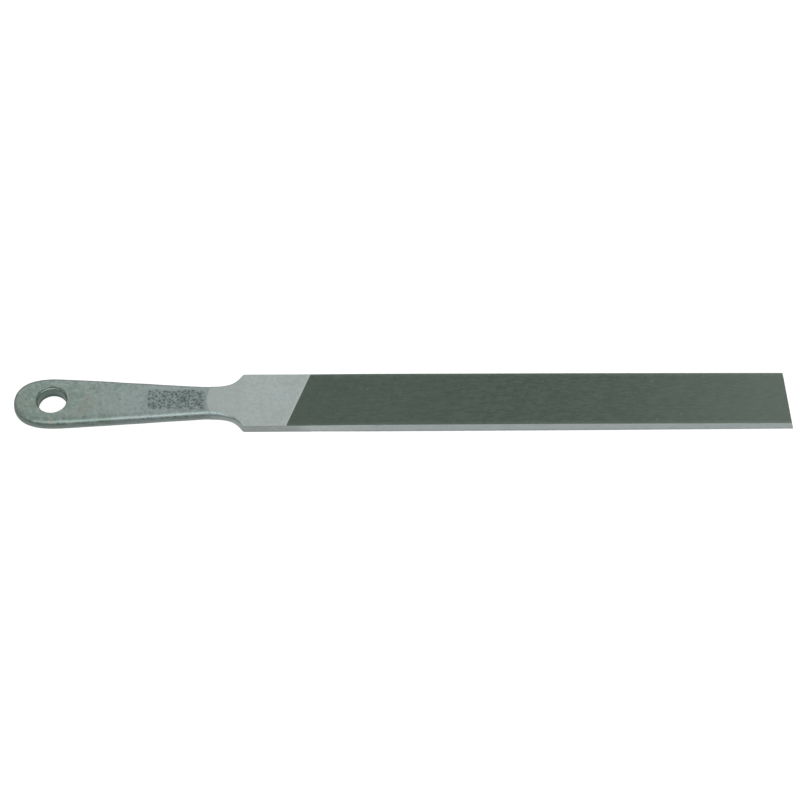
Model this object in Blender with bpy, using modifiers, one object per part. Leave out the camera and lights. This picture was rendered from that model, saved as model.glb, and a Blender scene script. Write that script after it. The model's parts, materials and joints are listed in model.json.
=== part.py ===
"""Flat file with an integral forged handle: one steel forging, ground thinner along the blade and pierced
with a hanging hole.

Frame: +X towards the tip, +Y across the width, +Z up. The world origin is the bottom centre of the overall
box, so the handle's underside lies on z = 0 and the blade stands slightly above it. The body's own origin
is at the shoulder, where handle meets blade, at mid thickness; the functions below measure x from there.

The body is a loft along its length: every station has its own width, thickness and edge rounding. The
handle is thick with round forged edges, the neck is ground down to the thinner heel while the rounding dies
out at the shoulder, and the blade is square-edged and slightly bellied. The teeth are a plain face with its
own material.
"""

import math

import bmesh
import bpy
from mathutils import Vector
from mathutils.geometry import interpolate_bezier

MM = 0.001

# Overall
HANDLE_LENGTH = 82.0 * MM  # handle end to shoulder
BLADE_LENGTH = 200.0 * MM  # shoulder to tip: nominal 8 inch
BLADE_WIDTH = 22.0 * MM

# Thickness: forged handle, ground heel, bellied blade
HANDLE_THICKNESS = 6.0 * MM
HEEL_THICKNESS = 4.1 * MM
BLADE_THICKNESS = 4.6 * MM  # over the parallel middle
TIP_THICKNESS = 4.0 * MM
BELLY_START = 18.0 * MM  # from the shoulder: heel ends, blade begins to thicken
BELLY_FULL = 50.0 * MM
BELLY_END = 112.0 * MM  # from here it thins towards the tip
TIP_LEAN = 1.4 * MM  # the end is cropped at an angle: its upper edge stops this much short of the lower

# Grinding wheel run-out: the handle's face dips to the heel's over this stretch, behind the shoulder
RUN_OUT_FROM = 13.5 * MM
RUN_OUT_TO = 2.5 * MM

# Handle outline: half widths, places behind the shoulder, and the reach of the Bezier handles
END_PULL = 3.7 * MM  # how square the handle's end is
WIDEST_HALF_WIDTH = 9.72 * MM
WIDEST_AT = 68.0 * MM
WIDEST_PULL_END = 12.2 * MM  # towards the handle's end
WIDEST_PULL_NECK = 6.2 * MM
NECK_HALF_WIDTH = 6.1 * MM
NECK_AT = 12.8 * MM
NECK_PULL_END = 3.5 * MM
NECK_PULL_SHOULDER = 11.0 * MM
SHOULDER_PULL = Vector((1.7 * MM, 0.3 * MM))

# Facets along the handle outline
END_STEPS = 16
FLANK_STEPS = 10
FILLET_STEPS = 12

# Forged edge rounding, fading out along the neck fillet
EDGE_RADIUS = 2.4 * MM
EDGE_SEGMENTS = 5
FADE_FROM = 9.0 * MM  # behind the shoulder: full radius up to here
FADE_TO = 0.5 * MM
FULLEST_EDGE = 0.85  # most of the half thickness that the rounding may take

# Hanging hole
HOLE_RADIUS = 5.05 * MM
HOLE_AT = 68.5 * MM  # behind the shoulder
HOLE_RIM = 0.55 * MM  # radius of the softened rims
HOLE_SIDES = 48
RIM_SEGMENTS = 4
RIM_PROUD = 0.02 * MM  # the cutter's rim ends this far outside the handle's face
CUTTER_CLEAR = 4.0 * MM  # how far the cutter stands out of the stock

# Start of the teeth on each broad face
CUT_START = 19.6 * MM  # from the shoulder, on the centre line
CUT_SLANT = math.radians(23.0)  # off square to the length

# Mesh tolerances
WELD_DISTANCE = 0.001 * MM
WELD_DISTANCE_TURNED = 0.01 * MM
SPLIT_TOLERANCE = 0.0001 * MM
BROAD_NORMAL = 0.9  # a face whose normal has more z than this belongs to a broad face
SHARP_ANGLE = math.radians(25)

# Material slots of the body
FORGED, GROUND, TOOTHED = range(3)

SHOULDER_X = (HANDLE_LENGTH - BLADE_LENGTH) / 2
MID_Z = HANDLE_THICKNESS / 2


def clear_scene():
    for obj in list(bpy.data.objects):
        bpy.data.objects.remove(obj, do_unlink=True)


def collection(name):
    made = bpy.data.collections.new(name)
    bpy.context.scene.collection.children.link(made)
    return made


def steel(name, colour, roughness):
    """A bare metal; the colour is linear RGBA."""
    material = bpy.data.materials.new(name)
    material.use_nodes = True
    shader = material.node_tree.nodes["Principled BSDF"]
    shader.inputs["Base Color"].default_value = colour
    shader.inputs["Metallic"].default_value = 1.0
    shader.inputs["Roughness"].default_value = roughness
    material.diffuse_color = colour
    return material


def handle_outline():
    """The +Y half of the plan from the handle's end to the shoulder: end, flank, neck fillet."""
    end = Vector((-HANDLE_LENGTH, 0.0))
    widest = Vector((-WIDEST_AT, WIDEST_HALF_WIDTH))
    neck = Vector((-NECK_AT, NECK_HALF_WIDTH))
    shoulder = Vector((0.0, BLADE_WIDTH / 2))

    def ahead(distance):
        return Vector((distance, 0.0))

    # Start, its Bezier handle, the finish's Bezier handle, finish, steps
    spans = [
        (end, end + Vector((0.0, END_PULL)), widest - ahead(WIDEST_PULL_END), widest, END_STEPS),
        (widest, widest + ahead(WIDEST_PULL_NECK), neck - ahead(NECK_PULL_END), neck, FLANK_STEPS),
        (neck, neck + ahead(NECK_PULL_SHOULDER), shoulder - SHOULDER_PULL, shoulder, FILLET_STEPS),
    ]
    points = [end]
    for *controls, steps in spans:
        points += [point.to_2d() for point in interpolate_bezier(*controls, steps + 1)[1:]]
    return points


def half_plan():
    """The +Y half of the whole plan, and at each point the direction in which the edge rounds inward."""
    plan = handle_outline()
    inward = [Vector((1.0, 0.0))]
    for before, after in zip(plan, plan[2:] + [plan[-1] + Vector((1.0, 0.0))]):
        chord = after - before
        inward.append(Vector((chord.y, -chord.x)).normalized())
    for x in (BELLY_START, BELLY_FULL, BELLY_END, BLADE_LENGTH):
        plan.append(Vector((x, BLADE_WIDTH / 2)))
        inward.append(Vector((0.0, -1.0)))
    return plan, inward


def half_thickness(x):
    """Half the thickness at x from the shoulder."""
    if x < -RUN_OUT_TO:
        done = max(0.0, (x + RUN_OUT_FROM) / (RUN_OUT_FROM - RUN_OUT_TO))
        left = (1 - done) ** 2
        return (HEEL_THICKNESS + (HANDLE_THICKNESS - HEEL_THICKNESS) * left) / 2
    # x from the shoulder, thickness there
    stations = [
        (-RUN_OUT_TO, HEEL_THICKNESS),
        (BELLY_START, HEEL_THICKNESS),
        (BELLY_FULL, BLADE_THICKNESS),
        (BELLY_END, BLADE_THICKNESS),
        (BLADE_LENGTH, TIP_THICKNESS),
    ]
    for (x0, thickness0), (x1, thickness1) in zip(stations, stations[1:]):
        if x <= x1:
            return (thickness0 + (thickness1 - thickness0) * (x - x0) / (x1 - x0)) / 2
    # Vectors store single precision, so the tip's x can fall just past the last station.
    return TIP_THICKNESS / 2


def edge_radius(x):
    """The forged edge's radius at x from the shoulder."""
    share = min(1.0, max(0.0, (-x - FADE_TO) / (FADE_FROM - FADE_TO)))
    return min(EDGE_RADIUS * share * (2 - share), FULLEST_EDGE * half_thickness(x))


def loft(bm):
    """Fills bm with the closed body before the hole."""
    plan, inward = half_plan()
    spans = range(len(plan) - 1)
    angles = [math.radians(90) * i / EDGE_SEGMENTS for i in range(EDGE_SEGMENTS + 1)]
    # Levels from the lower broad face, round the edge, to the upper one
    levels = [(-1, angle) for angle in reversed(angles)] + [(1, angle) for angle in angles]

    def edge_line(side, face, angle):
        """Vertices from the handle's end to the tip, at one level of the edge rounding."""
        line = []
        for point, direction in zip(plan, inward):
            radius = edge_radius(point.x)
            place = point + direction * radius * (1 - math.cos(angle))
            z = half_thickness(point.x) - radius * (1 - math.sin(angle))
            lean = TIP_LEAN if point is plan[-1] and face > 0 else 0.0
            line.append(bm.verts.new((place.x - lean, side * place.y, face * z)))
        return line

    def strip(first, second):
        for i in spans:
            bm.faces.new((first[i], first[i + 1], second[i + 1], second[i]))

    sides = []
    for side in (1, -1):
        lines = [edge_line(side, face, angle) for face, angle in levels]
        for low, high in zip(lines, lines[1:]):
            strip(low, high)
        sides.append(lines)

    # The broad faces and the tip's end face join the two sides.
    plus_y, minus_y = sides
    for i in spans:
        for level in (0, -1):
            near, far = minus_y[level], plus_y[level]
            bm.faces.new((near[i], near[i + 1], far[i + 1], far[i]))
    for i in range(len(levels) - 1):
        bm.faces.new((minus_y[i][-1], plus_y[i][-1], plus_y[i + 1][-1], minus_y[i + 1][-1]))

    # Welds the handle's end, and the levels that coincide where the edge is square.
    bmesh.ops.remove_doubles(bm, verts=bm.verts, dist=WELD_DISTANCE)
    bmesh.ops.recalc_face_normals(bm, faces=bm.faces)


def mark_teeth(bm):
    """Splits each broad face along the slanting start of the teeth and marks what lies beyond it.

    The two faces match when the file is turned over about its length.
    """
    start = Vector((CUT_START, 0.0, 0.0))
    for side in (1, -1):
        beyond = Vector((math.cos(CUT_SLANT), -side * math.sin(CUT_SLANT), 0.0))
        broad = [
            face for face in bm.faces
            if side * face.normal.z > BROAD_NORMAL and face.calc_center_median().x > 0
        ]
        geometry = set(broad)
        for face in broad:
            geometry.update(face.edges, face.verts)
        bmesh.ops.bisect_plane(
            bm, geom=list(geometry), plane_co=start, plane_no=beyond, dist=SPLIT_TOLERANCE
        )
        for face in bm.faces:
            ahead = (face.calc_center_median() - start).dot(beyond) > 0
            if side * face.normal.z > BROAD_NORMAL and ahead:
                face.material_index = TOOTHED


def mark_ground(bm):
    """Marks the rest of the blade, and the neck's broad faces from the run-out on."""
    for face in bm.faces:
        x = face.calc_center_median().x
        on_neck = x > -RUN_OUT_FROM and abs(face.normal.z) > BROAD_NORMAL
        if face.material_index == FORGED and (x > 0 or on_neck):
            face.material_index = GROUND


def file_body(home, materials):
    bm = bmesh.new()
    loft(bm)
    mark_teeth(bm)
    mark_ground(bm)
    mesh = bpy.data.meshes.new("file_body")
    bm.to_mesh(mesh)
    bm.free()
    for material in materials:
        mesh.materials.append(material)
    body = bpy.data.objects.new("file_body", mesh)
    home.objects.link(body)
    body.location = (SHOULDER_X, 0.0, MID_Z)
    return body


def hole_cutter(home, material):
    """A spool: the bore's radius through the middle, flaring at each face to round the rim."""
    top = HANDLE_THICKNESS / 2
    # Radius and height, from the axis down to the bore
    upper = [(0.0, top + CUTTER_CLEAR), (HOLE_RADIUS + HOLE_RIM, top + CUTTER_CLEAR)]
    for i in range(RIM_SEGMENTS + 1):
        angle = math.radians(90) * i / RIM_SEGMENTS
        radius = HOLE_RADIUS + HOLE_RIM * (1 - math.sin(angle))
        upper.append((radius, top + RIM_PROUD - HOLE_RIM * (1 - math.cos(angle))))
    profile = upper + [(radius, -z) for radius, z in reversed(upper)]

    mesh = bpy.data.meshes.new("hanging_hole")
    mesh.from_pydata(
        [(radius, 0.0, z) for radius, z in profile],
        [(i, i + 1) for i in range(len(profile) - 1)],
        [],
    )
    mesh.materials.append(material)
    cutter = bpy.data.objects.new("hanging_hole", mesh)
    home.objects.link(cutter)
    cutter.location = (SHOULDER_X - HOLE_AT, 0.0, MID_Z)
    cutter.hide_render = True
    cutter.display_type = "WIRE"

    screw = cutter.modifiers.new("turn", "SCREW")
    screw.axis = "Z"
    screw.steps = HOLE_SIDES
    screw.render_steps = HOLE_SIDES
    screw.use_merge_vertices = True
    screw.merge_threshold = WELD_DISTANCE_TURNED
    screw.use_normal_calculate = False
    return cutter


def pierce(body, cutter):
    """Cuts the body and keeps the result as its own mesh, so that the new corners can be shaded sharp."""
    cut = body.modifiers.new(cutter.name, "BOOLEAN")
    cut.operation = "DIFFERENCE"
    cut.solver = "EXACT"
    cut.material_mode = "TRANSFER"
    cut.object = cutter

    bpy.context.view_layer.update()
    graph = bpy.context.evaluated_depsgraph_get()
    mesh = bpy.data.meshes.new_from_object(
        body.evaluated_get(graph), preserve_all_data_layers=True, depsgraph=graph
    )
    mesh.name = body.name
    body.modifiers.clear()
    body.data = mesh


def shade(mesh):
    """Smooth round the forged edges, flat on the broad faces."""
    mesh.shade_smooth()
    mesh.set_sharp_from_angle(angle=SHARP_ANGLE)
    for face in mesh.polygons:
        face.use_smooth = abs(face.normal.z) < BROAD_NORMAL


def build():
    clear_scene()
    parts = collection("flat_file")
    cutters = collection("cutters")
    forged = steel("forged_steel", colour=(0.235, 0.282, 0.258, 1.0), roughness=0.52)
    ground = steel("ground_steel", colour=(0.360, 0.402, 0.388, 1.0), roughness=0.34)
    toothed = steel("toothed_steel", colour=(0.083, 0.112, 0.092, 1.0), roughness=0.50)

    body = file_body(parts, (forged, ground, toothed))
    pierce(body, hole_cutter(cutters, forged))
    shade(body.data)


build()
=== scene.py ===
import json
import math

import bmesh
import bpy
import numpy as np
from mathutils import Matrix, Vector

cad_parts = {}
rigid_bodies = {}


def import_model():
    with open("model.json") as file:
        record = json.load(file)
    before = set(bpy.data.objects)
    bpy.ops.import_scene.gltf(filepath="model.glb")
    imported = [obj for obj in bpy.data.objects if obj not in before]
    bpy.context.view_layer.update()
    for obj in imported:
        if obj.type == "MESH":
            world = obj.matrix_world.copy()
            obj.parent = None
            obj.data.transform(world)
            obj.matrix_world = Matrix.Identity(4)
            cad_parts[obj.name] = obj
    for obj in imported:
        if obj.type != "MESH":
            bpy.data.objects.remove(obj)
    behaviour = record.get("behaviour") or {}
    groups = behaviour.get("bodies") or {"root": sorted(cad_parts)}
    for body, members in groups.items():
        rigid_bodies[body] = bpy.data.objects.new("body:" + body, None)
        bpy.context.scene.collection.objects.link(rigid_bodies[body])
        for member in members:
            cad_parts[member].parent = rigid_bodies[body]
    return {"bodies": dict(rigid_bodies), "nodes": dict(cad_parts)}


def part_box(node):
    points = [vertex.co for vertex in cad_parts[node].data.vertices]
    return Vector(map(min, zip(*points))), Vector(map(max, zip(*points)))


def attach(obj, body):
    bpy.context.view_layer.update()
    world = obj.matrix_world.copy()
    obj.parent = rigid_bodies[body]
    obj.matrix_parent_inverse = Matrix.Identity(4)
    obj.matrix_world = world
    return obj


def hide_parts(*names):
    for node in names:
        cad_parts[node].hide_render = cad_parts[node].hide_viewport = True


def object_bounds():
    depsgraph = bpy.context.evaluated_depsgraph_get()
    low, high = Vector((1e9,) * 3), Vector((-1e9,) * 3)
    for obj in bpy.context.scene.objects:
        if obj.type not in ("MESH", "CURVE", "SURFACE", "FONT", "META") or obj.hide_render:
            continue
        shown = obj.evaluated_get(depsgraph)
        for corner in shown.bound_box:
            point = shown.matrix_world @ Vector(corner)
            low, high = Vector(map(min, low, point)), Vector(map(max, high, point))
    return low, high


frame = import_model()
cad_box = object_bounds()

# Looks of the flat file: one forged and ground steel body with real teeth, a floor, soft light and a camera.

kept = set(frame["nodes"].values()) | set(frame["bodies"].values())
for stray in list(bpy.data.objects):
    if stray not in kept:
        bpy.data.objects.remove(stray, do_unlink=True)

box_lo, box_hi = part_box("file_body")

# The design in its own millimetres: x from the blade's shoulder, z from the mid-plane. K turns them into the row frame.
K = (box_hi.x - box_lo.x) / 282.0
SHOULDER = box_lo.x / K + 82.0
MID_Z = (box_lo.z + box_hi.z) / 2 / K
HALF_W = (box_hi.y - box_lo.y) / 2 / K
TIP = 200.0
TIP_LEAN = 1.4  # the upper edge of the cropped end stops this much short of the lower one
TOP_TIP = TIP - TIP_LEAN
FULL_T = (box_hi.z - box_lo.z) / K

EDGE_R = 2.4
HOLE = (-68.5, 0.0)
HOLE_R = 5.05
# The hole's rim from the face inwards: the slope in degrees and the length of each facet. The punched rim is rounded,
# and about a millimetre down the drill has left a narrow sloping step.
RIM = ((10, 0.11), (28, 0.13), (60, 0.26), (84, 0.58), (50, 0.46), (70, 0.12), (85, 0.12))
UNDER_RIM = ((20, 0.12), (45, 0.22), (70, 0.16))
HOLE_RIM = sum(width * math.cos(math.radians(lean)) for lean, width in RIM)
SLANT = math.tan(math.radians(22.4))
CUT_START = 19.4
SQUARE_TO = 12.0  # the last plain cross-section of the heel
PITCH, DEPTH, PROUD = 0.42, 0.15, 0.03

FORGED, GROUND, CUT_UP, CUT_DOWN = 0, 1, 2, 3


# ---------------------------------------------------------------- noise

def hashed(ix, iy, iz, seed):
    n = (ix * 374761393 + iy * 668265263 + iz * 2147483647 + seed * 974634777) & 0xFFFFFFFF
    n = ((n ^ (n >> 13)) * 1274126177) & 0xFFFFFFFF
    n = ((n ^ (n >> 16)) * 2246822519) & 0xFFFFFFFF
    return ((n ^ (n >> 15)) & 0xFFFFFF) / float(0xFFFFFF) * 2 - 1


def noise(p, size, seed):
    """Smooth value noise in -1..1 at points p (N x 3, mm), with features about size mm across."""
    q = np.asarray(p, float) / size + 1000.0
    base = np.floor(q).astype(np.int64)
    f = q - base
    f = f * f * f * (f * (f * 6 - 15) + 10)
    total = np.zeros(len(q))
    for dx in (0, 1):
        for dy in (0, 1):
            for dz in (0, 1):
                w = (
                    (f[:, 0] if dx else 1 - f[:, 0])
                    * (f[:, 1] if dy else 1 - f[:, 1])
                    * (f[:, 2] if dz else 1 - f[:, 2])
                )
                total += w * hashed(base[:, 0] + dx, base[:, 1] + dy, base[:, 2] + dz, seed)
    return total


def smooth(t):
    t = np.clip(t, 0.0, 1.0)
    return t * t * (3 - 2 * t)


# ---------------------------------------------------------------- the body's design curves

def half_t(x):
    """Half thickness: handle, wheel run-out at the neck, heel, bellied blade, thinner tip."""
    x = np.asarray(x, float)
    handle, heel, belly, tip = FULL_T / 2, 2.05, 2.3, 2.0
    t = np.clip((x + 13.5) / 11.0, 0, 1)
    z = heel + (handle - heel) * (1 - t) ** 2
    z = np.where(x > 18, heel + (belly - heel) * np.sin(np.clip((x - 18) / 32, 0, 1) * math.pi / 2) ** 1.3, z)
    return np.where(x > 112, belly + (tip - belly) * np.clip((x - 112) / 88, 0, 1) ** 1.25, z)


def edge_r(x):
    t = np.clip((-x - 0.5) / 8.5, 0, 1)
    forged = np.minimum(EDGE_R * t * (2 - t), 0.85 * half_t(x))
    return forged


def bezier(a, b, c, d, n):
    t = np.linspace(0, 1, n)[:, None]
    a, b, c, d = (np.array(v, float) for v in (a, b, c, d))
    return (1 - t) ** 3 * a + 3 * (1 - t) ** 2 * t * b + 3 * (1 - t) * t ** 2 * c + t ** 3 * d


def half_outline():
    """Stations along the plan outline's upper half, from the handle's end to the last plain section: points and inward normals."""
    spans = [
        bezier((-82, 0), (-82, 3.7), (-80.2, 9.72), (-68, 9.72), 1500),
        bezier((-68, 9.72), (-61.8, 9.72), (-16.3, 6.1), (-12.8, 6.1), 1500)[1:],
        bezier((-12.8, 6.1), (-1.8, 6.1), (-1.7, HALF_W - 0.3), (0, HALF_W), 1500)[1:],
        np.stack([np.linspace(0, SQUARE_TO, 300), np.full(300, HALF_W)], 1)[1:],
    ]
    line = np.concatenate(spans)
    step = np.linalg.norm(np.diff(line, axis=0), axis=1)
    run = np.concatenate([[0], np.cumsum(step)])
    x = line[:, 0]
    spacing = np.full(len(run), 0.52)
    spacing[(x > -36) & (x < -13)] = 0.33
    spacing[(x > -13) & (x < 1.0)] = 0.40
    spacing[x > 1.0] = 0.9
    count = np.concatenate([[0], np.cumsum(step / spacing[1:])])
    whole = int(round(count[-1]))
    at = np.interp(np.linspace(0, count[-1], whole + 1), count, run)
    points = np.stack([np.interp(at, run, line[:, 0]), np.interp(at, run, line[:, 1])], 1)
    ahead = np.stack([np.interp(at + 0.15, run, line[:, 0]), np.interp(at + 0.15, run, line[:, 1])], 1)
    behind = np.stack([np.interp(at - 0.15, run, line[:, 0]), np.interp(at - 0.15, run, line[:, 1])], 1)
    chord = ahead - behind
    normal = np.stack([chord[:, 1], -chord[:, 0]], 1)
    normal /= np.linalg.norm(normal, axis=1)[:, None]
    normal[0] = (1, 0)
    points[0] = (-82, 0)
    points[-1] = (SQUARE_TO, HALF_W)
    normal[-1] = (0, -1)
    return points, normal


rng = np.random.default_rng(11)
# Random corrosion-like pits on the handle's upper face near the neck: a generic patch with no figure in it.
PITS = []
while len(PITS) < 95:
    px, py = rng.uniform(-34.5, -14.8), rng.uniform(-4.2, 3.6)
    if (rng.random() < 0.25 + 0.75 * smooth((px + 36) / 12)) and all((px - a[0]) ** 2 + (py - a[1]) ** 2 > 0.70 for a in PITS):
        PITS.append((px, py, rng.uniform(0.30, 0.58), rng.uniform(0.03, 0.075)))
PITS = np.array(PITS)


def pit_depth(x, y):
    depth, dark = np.zeros(len(x)), np.zeros(len(x))
    for px, py, r, d in PITS:
        dist = ((x - px) ** 2 + (y - py) ** 2) / (r * r)
        near = dist < 6
        depth[near] += d * np.exp(-1.6 * dist[near])
        dark[near] = np.maximum(dark[near], np.exp(-1.2 * dist[near]))
    return np.minimum(depth, 0.13), dark


def forged_bumps(p, face):
    """Displacement of the forged skin at points p, in mm: scale, hammering and pits, dying out on the ground heel."""
    skin = smooth((-12.6 - p[:, 0]) / 2.0)
    hole = np.hypot(p[:, 0] - HOLE[0], p[:, 1] - HOLE[1])
    calm = 0.15 + 0.85 * smooth((hole - 5.8) / 2.0)
    q = p + np.array([0, 0, 40.0 * face])
    bumps = (0.030 * noise(q, 7.0, 1) + 0.016 * noise(q, 2.6, 2) + 0.009 * noise(q, 1.1, 3)) * skin * calm
    if face > 0:
        bumps -= pit_depth(p[:, 0], p[:, 1])[0]
    return bumps


# ---------------------------------------------------------------- mesh building

class Builder:
    def __init__(self):
        self.points, self.faces, self.mats = [], [], []

    def add(self, pts):
        first = len(self.points)
        self.points.extend(map(tuple, pts))
        return list(range(first, len(self.points)))

    def face(self, ids, mat):
        kept = []
        for i in ids:
            if not kept or kept[-1] != i:
                kept.append(i)
        if len(kept) > 1 and kept[0] == kept[-1]:
            kept.pop()
        if len(set(kept)) == len(kept) and len(kept) > 2:
            self.faces.append(kept)
            self.mats.append(mat)

    def bridge(self, a, b, mat, close=False):
        n = len(a)
        for i in range(n if close else n - 1):
            j = (i + 1) % n
            self.face((a[i], a[j], b[j], b[i]), mat)

    def zipper(self, a, b, axis, mat):
        """Triangles between two rows of points that both run the same way along an axis."""
        ka = [self.points[i][axis] for i in a]
        kb = [self.points[i][axis] for i in b]
        sign = 1 if ka[-1] + kb[-1] >= ka[0] + kb[0] else -1
        i = j = 0
        while i < len(a) - 1 or j < len(b) - 1:
            if j == len(b) - 1 or (i < len(a) - 1 and sign * ka[i + 1] <= sign * kb[j + 1]):
                self.face((a[i], a[i + 1], b[j]), mat)
                i += 1
            else:
                self.face((a[i], b[j + 1], b[j]), mat)
                j += 1


B = Builder()
ACROSS = 34
ROUND = 8
outline, inward = half_outline()
STATIONS = len(outline)
radius = edge_r(outline[:, 0])
thick = half_t(outline[:, 0])


def section(face, way):
    """Points of one side (way 1 is +Y) of one face (1 is up), for every station: land, then rounding up to the face. Shape (station, level, 3)."""
    levels = []
    # The trimmed parting line stands a little proud along the forged handle.
    flash = smooth((-4.0 - outline[:, 0]) / 6.0) * (0.05 + 0.035 * noise(np.c_[outline * [1, way], np.zeros(STATIONS)], 1.7, 9))
    for rise, proud in ((0.0, 1.0), (0.16, 0.75), (0.26, 0.0)):
        z = np.minimum(rise, (thick - radius) * 0.5)
        levels.append((outline - inward * (flash * proud)[:, None], face * z, np.zeros(STATIONS)))
    # The flats ground on the neck cut the rounding off before it has turned level, which leaves a crease.
    steepest = math.pi / 2 - math.radians(36.0) * smooth((outline[:, 0] + 15.5) / 4.5)
    for k in range(ROUND + 1):
        a = steepest * k / ROUND
        inset = radius * (1 - np.cos(a))
        levels.append((outline + inward * inset[:, None], face * (thick - radius * (np.sin(steepest) - np.sin(a))), a))
    made = np.empty((STATIONS, len(levels), 3))
    tilt = np.empty((STATIONS, len(levels)))
    for k, (xy, z, a) in enumerate(levels):
        made[:, k, 0], made[:, k, 1], made[:, k, 2] = xy[:, 0], way * xy[:, 1], z
        tilt[:, k] = a
    flat = made.reshape(-1, 3)
    bump = forged_bumps(flat, face) * np.repeat((smooth(np.linspace(0, 1, len(levels)) * 3))[None], STATIONS, 0).ravel()
    out = np.repeat(-inward[:, None, :], len(levels), 1) * [1, way]
    a = tilt.ravel()
    flat[:, 0] += bump * np.cos(a) * out[..., 0].ravel()
    flat[:, 1] += bump * np.cos(a) * out[..., 1].ravel()
    flat[:, 2] += bump * np.sin(a) * face
    return flat.reshape(made.shape)


def face_points(x, y, face):
    """Points on a broad face at plan positions, with the forged skin's relief."""
    x, y = np.asarray(x, float), np.asarray(y, float)
    p = np.stack([x, y, np.zeros(len(x))], 1)
    p[:, 2] = face * (half_t(x) + forged_bumps(np.c_[x, y, half_t(x) * face], face))
    return p


# Sections of the handle and heel. Rows run from the far parting line over the face to the near parting line.
far_part = B.add(section(1, 1)[:, 0])
near_part = [far_part[0]] + B.add(section(1, -1)[1:, 0])
hole_loops = {}
rims = {}
for face in (1, -1):
    far, near = section(face, 1), section(face, -1)
    rows = []
    for i in range(STATIONS):
        left = [far_part[i]] + B.add(far[i, 1:])
        if i == 0:  # the handle's end: both sides are one line of points
            rows.append(left + [left[-1]] * (ACROSS - 1) + left[::-1])
            continue
        right = [near_part[i]] + B.add(near[i, 1:])
        y = np.linspace(far[i, -1, 1], near[i, -1, 1], ACROSS + 1)[1:-1]
        x = np.full(len(y), far[i, -1, 0])
        rows.append(left + B.add(face_points(x, y, face)) + right[::-1])
    side = len(far[0])

    # The hanging hole: an index rectangle round it is left out and filled with rings from that loop to the rim.
    xs = np.array([B.points[r[side + ACROSS // 2 - 1]][0] for r in rows])
    i0 = int(np.searchsorted(xs, HOLE[0] - 7.6)) - 1
    i1 = int(np.searchsorted(xs, HOLE[0] + 7.6))
    j0, j1 = side - 1 + 1, side - 1 + ACROSS - 1
    for i in range(STATIONS - 1):
        a, b = rows[i], rows[i + 1]
        for j in range(len(a) - 1):
            if i0 <= i < i1 and j0 <= j < j1:
                continue
            x = (B.points[a[j]][0] + B.points[b[j]][0]) / 2
            B.face((a[j], a[j + 1], b[j + 1], b[j]), GROUND if x > -1.0 else FORGED)
    loop = (
        [rows[i0][j] for j in range(j0, j1)]
        + [rows[i][j1] for i in range(i0, i1)]
        + [rows[i1][j] for j in range(j1, j0, -1)]
        + [rows[i][j0] for i in range(i1, i0, -1)]
    )
    base = np.array([B.points[i] for i in loop])
    angle = np.arctan2(base[:, 1] - HOLE[1], base[:, 0] - HOLE[0])
    unit = np.stack([np.cos(angle), np.sin(angle)], 1)
    steps = RIM if face > 0 else UNDER_RIM
    wide = sum(width * math.cos(math.radians(lean)) for lean, width in steps)
    rim = np.array(HOLE) + unit * (HOLE_R + wide)
    last = loop
    for k in range(1, 7):
        t = 1 - (1 - k / 6) ** 1.15
        xy = base[:, :2] * (1 - t) + rim * t
        ring = B.add(face_points(xy[:, 0], xy[:, 1], face))
        B.bridge(last, ring, FORGED, close=True)
        last = ring
    top = np.array([B.points[i] for i in last])[:, 2]
    r, drop = HOLE_R + wide, 0.0
    for lean, width in steps:
        r -= width * math.cos(math.radians(lean))
        drop += width * math.sin(math.radians(lean))
        xy = np.array(HOLE) + unit * (r + 0.008 * noise(np.c_[unit * 5, np.zeros(len(unit))], 1.5, 22)[:, None])
        ring = B.add(np.c_[xy, top - face * drop])
        B.bridge(last, ring, FORGED, close=True)
        last = ring
    hole_loops[face] = last
    rims[face] = rows[-1]

wall = np.array([B.points[i] for i in hole_loops[1]])
under = np.array([B.points[i] for i in hole_loops[-1]])
last = hole_loops[1]
for k in range(1, 6):
    t = k / 6
    mid = wall * (1 - t) + under * t
    way = mid[:, :2] - np.array(HOLE)
    wobble = 0.012 * noise(mid, 1.3, 21)
    mid[:, :2] += way / np.linalg.norm(way, axis=1)[:, None] * wobble[:, None]
    ring = B.add(mid)
    B.bridge(last, ring, FORGED, close=True)
    last = ring
B.bridge(last, hole_loops[-1], FORGED, close=True)


# ---------------------------------------------------------------- the toothed faces

COLUMNS = 17
lanes = np.linspace(HALF_W, -HALF_W, COLUMNS)  # far to near, as the sections run


def face_row(ids):
    """A full section row's part that lies on the broad face."""
    return ids[side - 1 : side + ACROSS]


def heel_rows(face):
    """From the last plain section to the slanting start of the teeth: rows that turn gradually. Returns the rows' end ids and the last row."""
    start = face_row(rims[face])
    last, fars, nears = start, [start[0]], [start[-1]]
    for k in range(1, 7):
        t = k / 6
        x = SQUARE_TO * (1 - t) + (CUT_START + face * lanes * SLANT) * t
        row = B.add(face_points(x, lanes, face))
        B.zipper(last, row, 1, GROUND)
        fars.append(row[0])
        nears.append(row[-1])
        last = row
    return last, fars, nears


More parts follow.
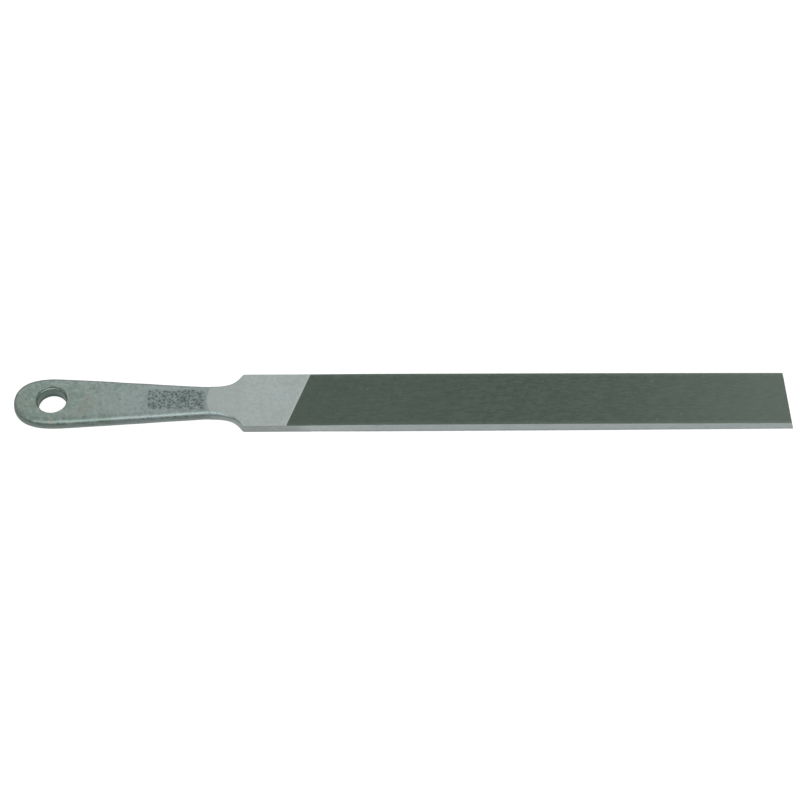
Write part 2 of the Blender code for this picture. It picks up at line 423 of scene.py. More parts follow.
# Upper face: single cut. Each tooth is a straight ridge: long back, narrow crest, steep front towards the tip.
last, top_far, top_near = heel_rows(1)
top_tip = []
profile = []
s = CUT_START
profile.append((s + 0.07, -DEPTH * 0.7))
while s < TOP_TIP + HALF_W * SLANT + PITCH:
    p = PITCH * (1 + 0.012 * rng.standard_normal())
    crest = PROUD + 0.004 * rng.standard_normal()
    valley = -DEPTH + 0.005 * rng.standard_normal()
    profile.append((s + 0.80 * p, crest - 0.004))
    profile.append((s + 0.87 * p, crest))
    profile.append((s + p, valley))
    s += p
cornered = False
for s, h in profile:
    shift = 0.012 * noise(np.c_[np.full(COLUMNS, s), lanes, np.zeros(COLUMNS)], 3.0, 31)
    x = s + lanes * SLANT + shift
    wave = 0.008 * noise(np.c_[x, lanes, np.zeros(COLUMNS)], 1.4, 32)
    z = half_t(x) + h + wave
    pts = np.stack([x, lanes, z], 1)
    if x[0] > TOP_TIP:  # the row leaves through the end of the blade
        inside = x < TOP_TIP
        if not inside.any():
            break
        k = int(np.argmax(inside))
        t = (TOP_TIP - pts[k, 0]) / (pts[k - 1, 0] - pts[k, 0])
        cross = pts[k] * (1 - t) + pts[k - 1] * t
        cross[0] = TOP_TIP
        rest = pts[k:]
        if np.linalg.norm(cross[:2] - rest[0][:2]) < 0.02:
            rest = rest[1:]
        if not len(rest):
            break
        head = [cross]
        if not cornered:
            head = [np.array([TOP_TIP, HALF_W, float(half_t(TOP_TIP)) - 0.03])] + head
            cornered = True
        row = B.add(np.array(head + list(rest)))
        top_tip += row[: len(head)]
        if len(head) == 2:
            top_far.append(row[0])
    else:
        head = [pts[0]]
        row = B.add(pts)
        top_far.append(row[0])
    B.zipper(last, row, 1, CUT_UP)
    top_near.append(row[-1])
    last = row[len(head) - 1 :]
corner = B.add([(TOP_TIP, -HALF_W, float(half_t(TOP_TIP)) - 0.03)])
B.zipper(last, corner, 1, CUT_UP)
top_tip += corner
top_near += corner


# Lower face: double cut. Two sets of grooves leave a pyramid in each cell of a slanting lattice.
def double_cut():
    """The lattice patch as a bmesh, trimmed to the blade."""
    step_x = 0.70  # groove pitches measured along the length
    cross_x = 0.86
    # Lines of the first set: x = CUT_START - y*SLANT + i*step_x. Second set: x = y*tan(44) + j*cross_x.
    back = math.tan(math.radians(44.0))
    total = SLANT + back

    def node(i, j):
        """Where line i of the first set meets line j of the second."""
        a = CUT_START + i * step_x
        b = j * cross_x
        y = (a - b) / total
        return a - y * SLANT, y

    cols = int((TIP + HALF_W * SLANT - CUT_START) / step_x) + 2
    index, points = {}, []
    bm = bmesh.new()
    corner, made = {}, {}
    for i in range(cols):
        a = CUT_START + i * step_x
        low = int(math.floor((a - HALF_W * total) / cross_x)) - 1
        high = int(math.ceil((a + HALF_W * total) / cross_x)) + 1
        for j in range(low, high + 2):
            x, y = node(i, j)
            corner[i, j] = (x, y)
    keys = sorted(corner)
    pts = np.array([corner[k] for k in keys])
    wave = 0.014 * noise(np.c_[pts, np.zeros(len(pts))], 1.6, 41)
    z = -(half_t(pts[:, 0]) - 0.24 + wave)
    for k, (x, y), h in zip(keys, pts, z):
        made[k] = bm.verts.new((x, y, h))
    for (i, j) in keys:
        quad = [(i, j), (i + 1, j), (i + 1, j + 1), (i, j + 1)]
        if not all(q in made for q in quad):
            continue
        if all(abs(corner[q][1]) > HALF_W + 0.01 for q in quad) or all(corner[q][0] > TIP for q in quad):
            continue
        (ax, ay), (bx, by), (cx, cy), (dx, dy) = (corner[q] for q in quad)
        u, v = 0.78, 0.30  # the crest sits towards the tip in each cell
        x = ax * (1 - u) * (1 - v) + bx * u * (1 - v) + cx * u * v + dx * (1 - u) * v
        y = ay * (1 - u) * (1 - v) + by * u * (1 - v) + cy * u * v + dy * (1 - u) * v
        jitter = noise(np.array([[x, y, 5.0]]), 0.7, 42)[0]
        top = bm.verts.new((x + 0.02 * jitter, y, -(float(half_t(x)) + 0.03 + 0.015 * jitter)))
        ring = [made[q] for q in quad]
        for k in range(4):
            bm.faces.new((ring[k], ring[(k + 1) % 4], top))
    for co, no in (
        ((0, HALF_W, 0), (0, 1, 0)),
        ((0, -HALF_W, 0), (0, -1, 0)),
        ((TIP, 0, 0), (1, 0, 0)),
    ):
        bmesh.ops.bisect_plane(
            bm, geom=bm.verts[:] + bm.edges[:] + bm.faces[:], plane_co=co, plane_no=no, clear_outer=True, dist=1e-4
        )
    bmesh.ops.delete(bm, geom=[v for v in bm.verts if not v.link_faces], context="VERTS")
    for v in bm.verts:
        for axis, value in ((1, HALF_W), (1, -HALF_W), (0, TIP)):
            if abs(v.co[axis] - value) < 2e-4:
                v.co[axis] = value
    return bm


patch = double_cut()
patch.verts.index_update()
ids = B.add([tuple(v.co) for v in patch.verts])
for f in patch.faces:
    B.face([ids[v.index] for v in f.verts], CUT_DOWN)
border = {ids[v.index] for e in patch.edges if len(e.link_faces) == 1 for v in e.verts}
patch.free()


def on(test):
    return [i for i in border if test(*B.points[i])]


low_far = sorted(on(lambda x, y, z: abs(y - HALF_W) < 1e-6), key=lambda i: B.points[i][0])
low_near = sorted(on(lambda x, y, z: abs(y + HALF_W) < 1e-6), key=lambda i: B.points[i][0])
low_tip = sorted(on(lambda x, y, z: abs(x - TIP) < 1e-6), key=lambda i: -B.points[i][1])
low_start = sorted(on(lambda x, y, z: abs(x + y * SLANT - CUT_START) < 2e-3), key=lambda i: -B.points[i][1])

# The heel's rows stop just short of the patch, and a small step leads down into the first grooves.
start_line = CUT_START
CUT_START -= 0.10
last, heel_far, heel_near = heel_rows(-1)
CUT_START = start_line
B.zipper(last, low_start, 1, CUT_DOWN)
low_far = heel_far + low_far
low_near = heel_near + low_near


# ---------------------------------------------------------------- the blade's edges and end

def side_levels(ids, far):
    """The section's points between the face's edge and the parting line, from the edge down."""
    return ids[:side][::-1] if far else ids[-side:]


def blade_edge(top_row, low_row, far):
    down = side_levels(rims[1], far) + side_levels(rims[-1], far)[::-1][1:]
    B.face(down + [low_row[1], top_row[1]], GROUND)
    B.zipper(top_row[1:], low_row[1:], 0, GROUND)


blade_edge(top_far, low_far, True)
blade_edge(top_near, low_near, False)
B.zipper(top_tip, low_tip, 1, GROUND)


# ---------------------------------------------------------------- the mesh object

def make_object():
    pts = np.array(B.points)
    pts[:, 0] += SHOULDER
    pts[:, 2] += MID_Z
    mesh = bpy.data.meshes.new("flat_file")
    mesh.from_pydata((pts * K).tolist(), [], B.faces)
    mesh.polygons.foreach_set("material_index", B.mats)
    mesh.update()
    bm = bmesh.new()
    bm.from_mesh(mesh)
    bmesh.ops.remove_doubles(bm, verts=bm.verts, dist=2e-7)
    bmesh.ops.dissolve_degenerate(bm, edges=bm.edges, dist=1e-8)
    bmesh.ops.recalc_face_normals(bm, faces=bm.faces)
    open_edges = sum(1 for e in bm.edges if len(e.link_faces) != 2)
    print("flat_file mesh:", len(bm.verts), "vertices", len(bm.faces), "faces", open_edges, "edges not shared by two faces")
    bm.to_mesh(mesh)
    bm.free()
    obj = bpy.data.objects.new("flat_file", mesh)
    bpy.context.scene.collection.objects.link(obj)
    return obj


body = make_object()
mesh = body.data


# ---------------------------------------------------------------- shading data

def local(values):
    """Mesh coordinates back in the design's millimetres."""
    co = values / K
    co[:, 0] -= SHOULDER
    co[:, 2] -= MID_Z
    return co


co = np.empty(len(mesh.vertices) * 3)
mesh.vertices.foreach_get("co", co)
co = local(co.reshape(-1, 3))
pit = np.where((co[:, 2] > 0) & (co[:, 0] < -11), pit_depth(co[:, 0], co[:, 1])[1], 0.0)
mesh.attributes.new("pit", "FLOAT", "POINT").data.foreach_set("value", pit.astype(np.float32))
crest = np.clip((np.abs(co[:, 2]) - half_t(co[:, 0]) + DEPTH) / (DEPTH + PROUD), 0, 1)
mesh.attributes.new("crest", "FLOAT", "POINT").data.foreach_set("value", crest.astype(np.float32))

mesh.shade_smooth()
mesh.set_sharp_from_angle(angle=math.radians(32))


# ---------------------------------------------------------------- unwrapping

def unwrap():
    """A flat layout in millimetres: the broad faces and the edges in half-length strips, then the bore and the end."""
    count, loops = len(mesh.polygons), len(mesh.loops)
    normal, centre, total = np.empty(count * 3), np.empty(count * 3), np.empty(count, int)
    mesh.polygons.foreach_get("normal", normal)
    mesh.polygons.foreach_get("center", centre)
    mesh.polygons.foreach_get("loop_total", total)
    normal, centre = normal.reshape(-1, 3), local(centre.reshape(-1, 3))
    mats = np.empty(count, int)
    mesh.polygons.foreach_get("material_index", mats)
    vertex = np.empty(loops, int)
    mesh.loops.foreach_get("vertex_index", vertex)
    at = co[vertex]
    face = np.repeat(np.arange(count), total)

    steep = (np.abs(normal[:, 2]) < 0.55) & (mats < CUT_UP)
    bore = steep & (np.hypot(centre[:, 0] - HOLE[0], centre[:, 1] - HOLE[1]) < HOLE_R + HOLE_RIM)
    end = steep & (centre[:, 0] > 150) & (np.abs(normal[:, 0]) > 0.7)
    broad, edge = ~steep, steep & ~bore & ~end
    far_half = centre[:, 0] > 59.0

    # along the outline for the edges, straight for the rest
    run = np.concatenate([[0], np.cumsum(np.linalg.norm(np.diff(outline, axis=0), axis=1))])
    along = np.empty(len(co))
    for part in np.array_split(np.arange(len(co)), 24):
        near = np.abs(co[part, None, 0] - outline[None, :, 0]) + np.abs(np.abs(co[part, None, 1]) - outline[None, :, 1])
        along[part] = run[np.argmin(near, axis=1)]
    straight = co[:, 0] > SQUARE_TO
    along[straight] = run[-1] + co[straight, 0] - SQUARE_TO
    middle = (run[-1] + TIP - SQUARE_TO) / 2
    squeeze = 141.0 / middle

    u, v = np.zeros(loops), np.zeros(loops)
    side_of = np.where(centre[:, 1] > 0, 0, 1)
    face_of = np.where(centre[:, 2] > 0, 0, 1)

    pick = broad[face]
    half = far_half[face[pick]]
    u[pick] = at[pick, 0] + 82.0 - 141.0 * half
    v[pick] = 11.0 + at[pick, 1] + 23.0 * (2 * face_of[face[pick]] + half)

    pick = edge[face]
    run_at = along[vertex[pick]]
    mean_run = np.zeros(count)
    np.add.at(mean_run, face[pick], run_at / total[face[pick]])
    half = mean_run[face[pick]] > middle
    u[pick] = (run_at - middle * half) * squeeze
    v[pick] = 93.0 + 3.0 + at[pick, 2] + 7.0 * (2 * side_of[face[pick]] + half)

    pick = bore[face]
    turn = np.arctan2(at[pick, 1], at[pick, 0] - HOLE[0])
    seam = np.arctan2(centre[face[pick], 1], centre[face[pick], 0] - HOLE[0])
    turn = np.where(turn - seam > math.pi, turn - 2 * math.pi, np.where(turn - seam < -math.pi, turn + 2 * math.pi, turn))
    u[pick] = 20.0 + turn * (HOLE_R + HOLE_RIM / 2)
    v[pick] = 121.0 + 3.0 + at[pick, 2]

    pick = end[face]
    u[pick] = 60.0 + at[pick, 1]
    v[pick] = 121.0 + 3.0 + at[pick, 2]

    layer = mesh.uv_layers.new(name="OFBake")
    flat = np.stack([(u + 1.5) / 144.0, (v + 1.5) / 144.0], 1)
    layer.data.foreach_set("uv", flat.astype(np.float32).ravel())


unwrap()


# ---------------------------------------------------------------- materials

class Nodes:
    """A short way to write a node tree."""

    def __init__(self, tree):
        self.tree = tree
        tree.nodes.clear()

    def put(self, kind, **inputs):
        node = self.tree.nodes.new(kind)
        for key, value in inputs.items():
            if key.startswith("_"):
                setattr(node, key[1:], value)
        for key, value in inputs.items():
            if not key.startswith("_"):
                self.plug(node, key, value)
        return node

    def plug(self, node, key, value):
        slot = node.inputs[int(key[1:]) if key[0] == "i" and key[1:].isdigit() else key.replace("_", " ")]
        if isinstance(value, bpy.types.NodeSocket):
            self.tree.links.new(value, slot)
        elif isinstance(value, bpy.types.Node):
            self.tree.links.new(value.outputs[0], slot)
        else:
            slot.default_value = value

    def math(self, op, a, b=0.0, c=0.0, clamp=False):
        return self.put("ShaderNodeMath", _operation=op, _use_clamp=clamp, i0=a, i1=b, i2=c).outputs[0]

    def mix(self, fac, a, b, blend="MIX"):
        node = self.put("ShaderNodeMix", _data_type="RGBA", _blend_type=blend)
        self.plug(node, "i0", fac)
        self.plug(node, "i6", a)
        self.plug(node, "i7", b)
        return node.outputs[2]

    def ramp(self, fac, *stops, smooth=False):
        node = self.put("ShaderNodeValToRGB", Fac=fac)
        if smooth:
            node.color_ramp.interpolation = "EASE"
        elements = node.color_ramp.elements
        while len(elements) < len(stops):
            elements.new(0.5)
        for element, (at, value) in zip(elements, stops):
            element.position = at
            element.color = (value,) * 3 + (1,) if isinstance(value, (int, float)) else (*value, 1)
        return node.outputs[0]

    def noise(self, where, scale, detail=3.0, rough=0.55, stretch=(1, 1, 1), offset=(0, 0, 0)):
        mapped = self.put("ShaderNodeMapping", Vector=where, Scale=stretch, Location=offset)
        return self.put("ShaderNodeTexNoise", Vector=mapped, Scale=scale, Detail=detail, Roughness=rough).outputs[0]

    def range(self, value, a, b, c=0.0, d=1.0):
        return self.put("ShaderNodeMapRange", _interpolation_type="SMOOTHSTEP", i0=value, i1=a, i2=b, i3=c, i4=d).outputs[0]


def steel(name):
    mat = bpy.data.materials.new(name)
    mat.use_nodes = True
    n = Nodes(mat.node_tree)
    where = n.put("ShaderNodeTexCoord").outputs["Object"]
    mm = n.put("ShaderNodeMapping", Vector=where, Scale=(1 / K,) * 3, Location=(-SHOULDER, 0, -MID_Z)).outputs[0]
    axes = n.put("ShaderNodeSeparateXYZ", Vector=mm)
    return mat, n, mm, axes


def close(mat, n, colour, rough, height, distance, metallic=1.0):
    bump = n.put("ShaderNodeBump", Strength=1.0, Distance=distance * K, Height=height)
    shader = n.put("ShaderNodeBsdfPrincipled", Base_Color=colour, Metallic=metallic, Roughness=rough, Normal=bump)
    n.put("ShaderNodeOutputMaterial", Surface=shader)
    return mat


def brushed(n, mm, axes):
    """Fine lengthwise grinding lines: streaks of several widths."""
    fine = n.noise(mm, 9.0, 2.0, 0.6, stretch=(0.012, 1, 1))
    broad = n.noise(mm, 2.2, 3.0, 0.6, stretch=(0.03, 1, 1), offset=(3, 7, 1))
    return n.math("ADD", n.math("MULTIPLY", fine, 0.6), n.math("MULTIPLY", broad, 0.4)), fine, broad


def tilt(n):
    """How far a surface faces up or down: 1 on the broad faces, 0 on the edges."""
    normal = n.put("ShaderNodeNewGeometry").outputs["Normal"]
    return n.math("ABSOLUTE", n.put("ShaderNodeSeparateXYZ", Vector=normal).outputs[2])


def ground_colour(n, mm, axes):
    x, y, z = axes.outputs
    lines, fine, broad = brushed(n, mm, axes)
    cloud = n.noise(mm, 0.16, 3.0, 0.5, offset=(11, 2, 5))
    patch = n.noise(mm, 0.9, 3.0, 0.55, offset=(1, 12, 5))
    tone = n.mix(n.range(lines, 0.35, 0.65), (0.352, 0.398, 0.383, 1), (0.392, 0.440, 0.426, 1))
    tone = n.mix(n.range(cloud, 0.42, 0.62, 0.0, 0.75), tone, (0.388, 0.445, 0.436, 1))
    tone = n.mix(n.range(cloud, 0.45, 0.32, 0.0, 0.60), tone, (0.330, 0.372, 0.348, 1))
    tone = n.mix(n.range(patch, 0.40, 0.64, 0.0, 0.60), tone, (0.318, 0.358, 0.340, 1))
    tone = n.mix(n.range(x, 4.0, -10.0, 0.0, 0.35), tone, (0.318, 0.362, 0.336, 1))
    spots = n.noise(mm, 1.1, 2.0, 0.5, offset=(1, 31, 5))
    tone = n.mix(n.range(spots, 0.70, 0.80, 0.0, 0.35), tone, (0.17, 0.185, 0.165, 1))
    # painted highlight: a lighter line along the teeth's start, where a burr thrown up by the first cut catches the
    # light
    start = n.math("SUBTRACT", n.math("SUBTRACT", x, n.math("MULTIPLY", n.math("MULTIPLY", y, SLANT), n.math("SIGN", z))), CUT_START)
    tone = n.mix(n.range(start, -0.75, -0.30, 0.0, 0.5), tone, (0.47, 0.51, 0.49, 1))
    # the narrow edges: rougher and darker beside the heel, mottled further on, with a darker lower margin
    side = n.range(tilt(n), 0.75, 0.35)
    streak = n.noise(mm, 0.9, 4.0, 0.65, stretch=(0.30, 1, 1.6), offset=(5, 5, 5))
    dark = n.math("MULTIPLY", side, n.range(n.math("ADD", x, n.math("MULTIPLY", streak, 12.0)), 22.0, 30.0, 0.55, 0.0))
    tone = n.mix(dark, tone, (0.225, 0.262, 0.245, 1))
    tone = n.mix(n.math("MULTIPLY", side, n.range(streak, 0.28, 0.48, 0.50, 0.0)), tone, (0.225, 0.250, 0.245, 1))
    tone = n.mix(n.math("MULTIPLY", side, n.range(streak, 0.55, 0.75, 0.0, 0.60)), tone, (0.46, 0.505, 0.500, 1))
    tone = n.mix(n.math("MULTIPLY", side, n.range(x, 18.0, 60.0, 0.0, 0.36)), tone, (0.265, 0.318, 0.330, 1))
    tone = n.mix(n.math("MULTIPLY", side, n.range(z, -1.0, -1.7, 0.0, 0.55)), tone, (0.20, 0.235, 0.225, 1))
    # painted shade: the edges and the cropped end are darkened at the tip's corner
    tone = n.mix(n.math("MULTIPLY", side, n.range(x, 198.7, 199.5, 0.0, 0.45)), tone, (0.16, 0.18, 0.18, 1))
    rough = n.math("ADD", n.range(fine, 0.3, 0.7, 0.30, 0.38), n.range(cloud, 0.3, 0.7, -0.03, 0.04))
    return tone, rough, lines


def make_ground():
    mat, n, mm, axes = steel("ground_steel")
    tone, rough, lines = ground_colour(n, mm, axes)
    return close(mat, n, tone, rough, lines, 0.004)


def make_forged():
    mat, n, mm, axes = steel("forged_steel")
    x, y, z = axes.outputs
    cloud = n.noise(mm, 0.22, 4.0, 0.55)
    patch = n.noise(mm, 0.75, 5.0, 0.62, offset=(4, 9, 2))
    grain = n.noise(mm, 2.6, 3.0, 0.65, offset=(8, 1, 7))
    # greener at the handle's end, bluer and lighter towards the neck and the rims
    drift = n.range(n.math("ADD", x, n.math("MULTIPLY", n.math("SUBTRACT", cloud, 0.5), 60.0)), -72.0, -25.0)
    tone = n.mix(drift, (0.208, 0.272, 0.236, 1), (0.292, 0.350, 0.342, 1))
    tone = n.mix(n.range(cloud, 0.32, 0.68, 0.0, 0.40), tone, (0.265, 0.312, 0.292, 1))
    tone = n.mix(n.range(patch, 0.50, 0.70, 0.0, 0.85), tone, (0.352, 0.408, 0.398, 1))
    tone = n.mix(n.range(patch, 0.30, 0.47, 0.70, 0.0), tone, (0.148, 0.196, 0.168, 1))
    tone = n.mix(n.range(grain, 0.30, 0.50, 0.45, 0.0), tone, (0.150, 0.190, 0.168, 1))
    tone = n.mix(n.range(grain, 0.58, 0.75, 0.0, 0.35), tone, (0.330, 0.370, 0.362, 1))
    # painted highlight: the far rim is made lighter and bluer, in patches, where it catches the light from behind
    rim = n.math("MULTIPLY", n.range(y, 4.0, 8.5), n.range(patch, 0.42, 0.62, 0.0, 0.7))
    tone = n.mix(rim, tone, (0.345, 0.392, 0.392, 1))
    # a trace of brown where the scale has rusted a little
    rust = n.noise(mm, 0.14, 2.0, 0.5, offset=(17, 3, 9))
    tone = n.mix(n.math("MULTIPLY", n.range(rust, 0.58, 0.70, 0.0, 0.55), n.range(patch, 0.4, 0.6)), tone, (0.275, 0.262, 0.215, 1))
    # dark specks
    cells = n.put("ShaderNodeTexVoronoi", Vector=mm, Scale=0.60, Randomness=1.0)
    speck = n.range(cells.outputs["Distance"], 0.10, 0.20, 1.0, 0.0)
    chosen = n.range(n.put("ShaderNodeSeparateColor", Color=cells.outputs["Color"]).outputs[0], 0.50, 0.52)
    speck = n.math("MULTIPLY", speck, chosen)
    tone = n.mix(n.math("MULTIPLY", speck, 0.65), tone, (0.085, 0.105, 0.092, 1))
    # the pitted patch
    pit = n.put("ShaderNodeAttribute", _attribute_name="pit").outputs["Fac"]
    along = n.math("MULTIPLY", n.range(x, -37.5, -32.5), n.range(x, -15.0, -12.9, 1.0, 0.0))
    side = n.math("MULTIPLY", n.range(y, 4.6, 2.6), n.range(y, -5.6, -3.4))
    up = n.range(z, 0.0, 1.0)
    blot = n.noise(mm, 1.3, 4.0, 0.65, offset=(2, 5, 3))
    zone = n.math("MULTIPLY", n.math("MULTIPLY", along, side), up)
    tone = n.mix(n.math("MULTIPLY", zone, n.range(blot, 0.40, 0.60, 0.0, 0.62)), tone, (0.085, 0.120, 0.106, 1))
    tone = n.mix(n.math("MULTIPLY", pit, 0.80), tone, (0.050, 0.070, 0.064, 1))
    # painted shade: the sides are made darker than the broad faces
    flat = tilt(n)
    wall = n.range(flat, 0.62, 0.25)
    tone = n.mix(n.math("MULTIPLY", wall, 0.36), tone, (0.125, 0.152, 0.142, 1))
    # towards the heel the sides are made lighter: partly the wheel's touch, partly painted light where the fillet's
    # side faces the light
    tone = n.mix(n.math("MULTIPLY", wall, n.range(n.math("ADD", x, n.math("MULTIPLY", patch, 3.0)), -15.0, -3.0, 0.0, 0.85)), tone, (0.335, 0.375, 0.362, 1))
    # painted shade inside the hanging hole: the bore is darkened below its upper rim, more towards the bottom
    reach = n.math("POWER", n.math("ADD", n.math("POWER", n.math("SUBTRACT", x, HOLE[0]), 2.0), n.math("POWER", y, 2.0)), 0.5)
    bore = n.math("MULTIPLY", n.range(reach, HOLE_R + 0.42, HOLE_R + 0.36), n.math("ADD", n.range(z, 1.75, 1.45, 0.0, 0.38), n.range(z, -0.6, -2.4, 0.0, 0.45)))
    tone = n.mix(bore, tone, (0.016, 0.062, 0.046, 1))
    # painted highlight: the upper lip of the bore is made lighter
    lip = n.math("MULTIPLY", n.range(reach, HOLE_R + 0.64, HOLE_R + 0.54), n.range(z, 1.95, 2.15))
    tone = n.mix(n.math("MULTIPLY", lip, 0.5), tone, (0.330, 0.415, 0.375, 1))
    # painted shade: a dark line in the rounding of the hole's rim
    ring = n.math("MULTIPLY", n.range(reach, HOLE_R + HOLE_RIM + 0.10, HOLE_R + HOLE_RIM - 0.10), n.range(z, 2.20, 2.45))
    tone = n.mix(n.math("MULTIPLY", ring, 0.15), tone, (0.085, 0.115, 0.098, 1))
    # the wheel's arc: past it the flats of the neck are ground bright
    bright, bright_rough, lines = ground_colour(n, mm, axes)
    edge = n.noise(mm, 1.6, 3.0, 0.6, offset=(0, 3, 3))
    line = n.math("SUBTRACT", x, n.math("MULTIPLY", n.math("MULTIPLY", y, y), 0.050))
    line = n.math("ADD", line, n.math("MULTIPLY", n.math("SUBTRACT", edge, 0.5), 1.3))
    is_ground = n.math("MULTIPLY", n.range(line, -13.7, -13.1), n.range(flat, 0.90, 0.965))
    tone = n.mix(is_ground, tone, bright)
    rough = n.math("ADD", n.range(patch, 0.3, 0.7, 0.36, 0.48), n.math("MULTIPLY", pit, 0.15))
    rough = n.math("ADD", n.math("MULTIPLY", rough, n.math("SUBTRACT", 1.0, is_ground)), n.math("MULTIPLY", bright_rough, is_ground))
    height = n.math("ADD", n.math("MULTIPLY", grain, 0.7), n.math("MULTIPLY", n.noise(mm, 8.0, 2.0, 0.6), 0.3))
    height = n.math("MULTIPLY", height, n.math("SUBTRACT", 1.0, n.math("MULTIPLY", is_ground, 0.9)))
    return close(mat, n, tone, rough, height, 0.045)


def make_toothed(name):
    mat, n, mm, axes = steel(name)
    crest = n.put("ShaderNodeAttribute", _attribute_name="crest").outputs["Fac"]
    x, y, z = axes.outputs
    cloud = n.noise(mm, 0.10, 4.0, 0.55, offset=(6, 1, 4))
    grain = n.noise(mm, 1.5, 3.0, 0.6, offset=(1, 8, 4))
    tone = n.mix(n.range(cloud, 0.3, 0.7), (0.118, 0.162, 0.130, 1), (0.132, 0.174, 0.146, 1))
    streak = n.noise(mm, 1.3, 3.0, 0.6, stretch=(0.22, 1, 1), offset=(3, 2, 8))
    tone = n.mix(n.range(grain, 0.36, 0.64, 0.0, 0.55), tone, (0.090, 0.126, 0.102, 1))
    tone = n.mix(n.range(streak, 0.40, 0.62, 0.0, 0.60), tone, (0.165, 0.206, 0.172, 1))
    tone = n.mix(n.range(x, 120, 200, 0.0, 0.42), tone, (0.210, 0.250, 0.218, 1))
    tone = n.mix(n.range(x, 100, 25, 0.0, 0.30), tone, (0.190, 0.232, 0.200, 1))
    # the teeth's ends are rubbed
    tone = n.mix(n.range(n.math("ABSOLUTE", y), 9.4, 10.9, 0.0, 0.22), tone, (0.300, 0.345, 0.315, 1))
    # here and there a tooth is chipped bright
    cells = n.put("ShaderNodeTexVoronoi", Vector=mm, Scale=0.22, Randomness=1.0)
    chip = n.math("MULTIPLY", n.range(cells.outputs["Distance"], 0.05, 0.09, 1.0, 0.0), n.range(n.put("ShaderNodeSeparateColor", Color=cells.outputs["Color"]).outputs[0], 0.70, 0.72))
    tone = n.mix(n.math("MULTIPLY", chip, 0.6), tone, (0.36, 0.42, 0.38, 1))
    # worn crests are a little brighter; painted shade darkens the gullets
    tone = n.mix(n.range(crest, 0.80, 1.0, 0.0, 0.14), tone, (0.300, 0.345, 0.310, 1))
    tone = n.mix(n.range(crest, 0.0, 0.35, 0.12, 0.0), tone, (0.055, 0.072, 0.058, 1))
    rough = n.math("ADD", n.range(cloud, 0.3, 0.7, 0.42, 0.50), n.range(crest, 0.8, 1.0, 0.0, -0.1))
    return close(mat, n, tone, rough, grain, 0.015)


mesh.materials.append(make_forged())
mesh.materials.append(make_ground())
mesh.materials.append(make_toothed("toothed_steel"))
mesh.materials.append(make_toothed("toothed_steel_lower"))

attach(body, "root")
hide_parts("file_body")


# ---------------------------------------------------------------- floor, light, camera

def plain(name, colour, rough, glow=0.0):
    mat = bpy.data.materials.new(name)
    mat.use_nodes = True
    n = Nodes(mat.node_tree)
    shader = n.put("ShaderNodeBsdfPrincipled", Base_Color=(*colour, 1), Roughness=rough)
    shader.inputs["Specular IOR Level"].default_value = 0.0
    shader.inputs["Emission Color"].default_value = (1, 1, 1, 1)
    shader.inputs["Emission Strength"].default_value = glow
    n.put("ShaderNodeOutputMaterial", Surface=shader)
    return mat


def make_floor():
    flat = bpy.data.meshes.new("floor")
    r, z = 6.0, box_lo.z - 0.0001
    flat.from_pydata([(-r, -r, z), (r, -r, z), (r, r, z), (-r, r, z)], [], [(0, 1, 2, 3)])
    floor = bpy.data.objects.new("floor", flat)
    bpy.context.scene.collection.objects.link(floor)
    flat.materials.append(plain("pale_floor", (0.25, 0.25, 0.25), 0.9, glow=0.92))
    floor.visible_glossy = False  # the steel reflects the studio's own lower half
    return floor


SKY = (
    (-180, 0.80), (-150, 0.75), (-125, 0.55), (-98, 0.50), (-80, 0.80), (-65, 1.10), (-40, 1.05), (-28, 0.98), (-12, 0.85),
    (0, 0.76), (30, 0.76), (50, 0.84), (78, 0.55), (90, 0.42), (118, 0.40), (135, 0.74), (147, 1.00), (160, 0.90), (180, 0.85),
)


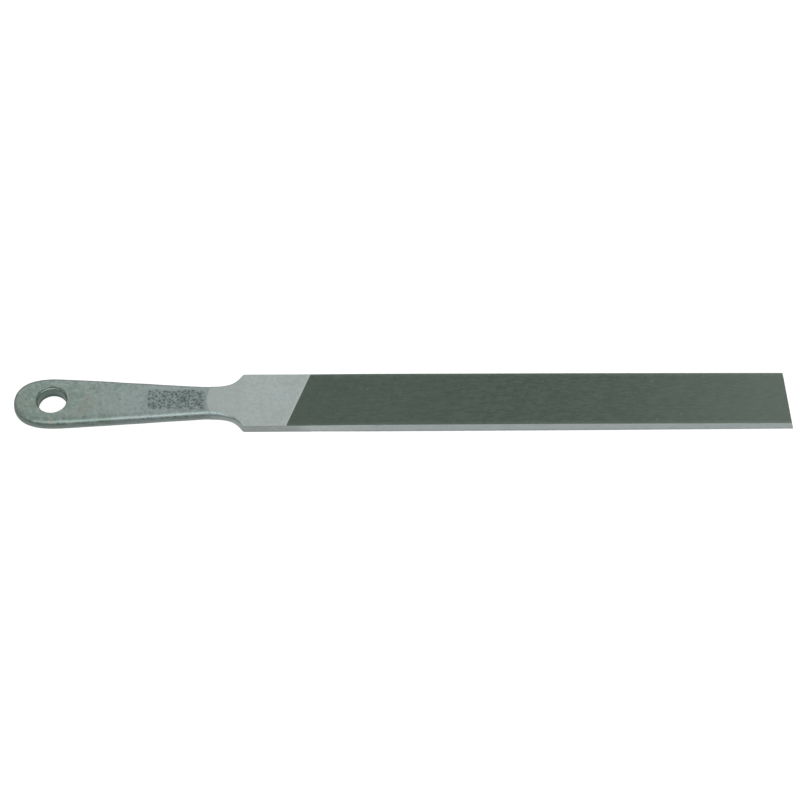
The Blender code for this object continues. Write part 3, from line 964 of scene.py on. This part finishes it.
def make_world():
    world = bpy.data.worlds.new("studio")
    bpy.context.scene.world = world
    world.use_nodes = True
    n = Nodes(world.node_tree)
    way = n.put("ShaderNodeTexCoord").outputs["Generated"]
    dx, dy, dz = n.put("ShaderNodeSeparateXYZ", Vector=way).outputs
    # The angle from overhead towards the near side (-Y), -180 to 180 degrees: a white sweep rises behind the table,
    # the ceiling is dimmer, both horizons are dark, and the table glows below.
    turn = n.math("DIVIDE", n.math("ARCTAN2", n.math("MULTIPLY", dy, -1.0), dz), 2 * math.pi)
    level = n.ramp(
        n.math("ADD", turn, 0.5),
        *[((a + 180) / 360, v) for a, v in SKY],
    )
    ends = n.range(n.math("ABSOLUTE", dx), 0.80, 0.97)
    tone = n.mix(ends, level, (0.50, 0.51, 0.51, 1))
    lit = n.put("ShaderNodeBackground", Color=tone, Strength=1.0)
    white = n.put("ShaderNodeBackground", Color=(1, 1, 1, 1), Strength=1.0)
    camera_ray = n.put("ShaderNodeLightPath").outputs["Is Camera Ray"]
    both = n.put("ShaderNodeMixShader", i0=camera_ray, i1=lit, i2=white)
    n.put("ShaderNodeOutputWorld", Surface=both)


def softbox(name, centre, wide, tall, radiance, aim=(0, 0, 0), colour=(1, 1, 1)):
    light = bpy.data.lights.new(name, "AREA")
    light.shape = "RECTANGLE"
    light.size, light.size_y = wide, tall
    light.energy = radiance * math.pi * wide * tall
    light.color = colour
    obj = bpy.data.objects.new(name, light)
    obj.location = centre
    obj.rotation_euler = (Vector(aim) - Vector(centre)).to_track_quat("-Z", "Y").to_euler()
    bpy.context.scene.collection.objects.link(obj)
    return obj


def make_camera():
    el, az, roll = math.radians(56.844), math.radians(-7.166), math.radians(5.750)
    back = Vector((math.sin(az) * math.cos(el), -math.cos(az) * math.cos(el), math.sin(el)))
    right = Vector((math.cos(az), math.sin(az), 0.0))
    up = back.cross(right)
    x_axis = math.cos(roll) * right + math.sin(roll) * up
    y_axis = -math.sin(roll) * right + math.cos(roll) * up
    centre = Vector(((cad_box[0][0] + cad_box[1][0]) / 2 - 0.00276, (cad_box[0][1] + cad_box[1][1]) / 2 + 0.00102, (cad_box[0][2] + cad_box[1][2]) / 2))
    data = bpy.data.cameras.new("camera")
    data.sensor_width, data.lens = 36.0, 80.148
    data.clip_start, data.clip_end = 0.01, 50.0
    camera = bpy.data.objects.new("camera", data)
    bpy.context.scene.collection.objects.link(camera)
    m = Matrix.Identity(4)
    for r in range(3):
        m[r][0], m[r][1], m[r][2], m[r][3] = x_axis[r], y_axis[r], back[r], (centre + back * 0.64658)[r]
    camera.matrix_world = m
    bpy.context.scene.camera = camera


make_floor()
make_world()
softbox("near_softbox", (0.45, -1.77, 0.915), 3.7, 0.78, 2.35, colour=(0.97, 1.0, 1.02))
make_camera()
bpy.context.scene.view_settings.view_transform = "Standard"
bpy.context.scene.view_settings.look = "None"
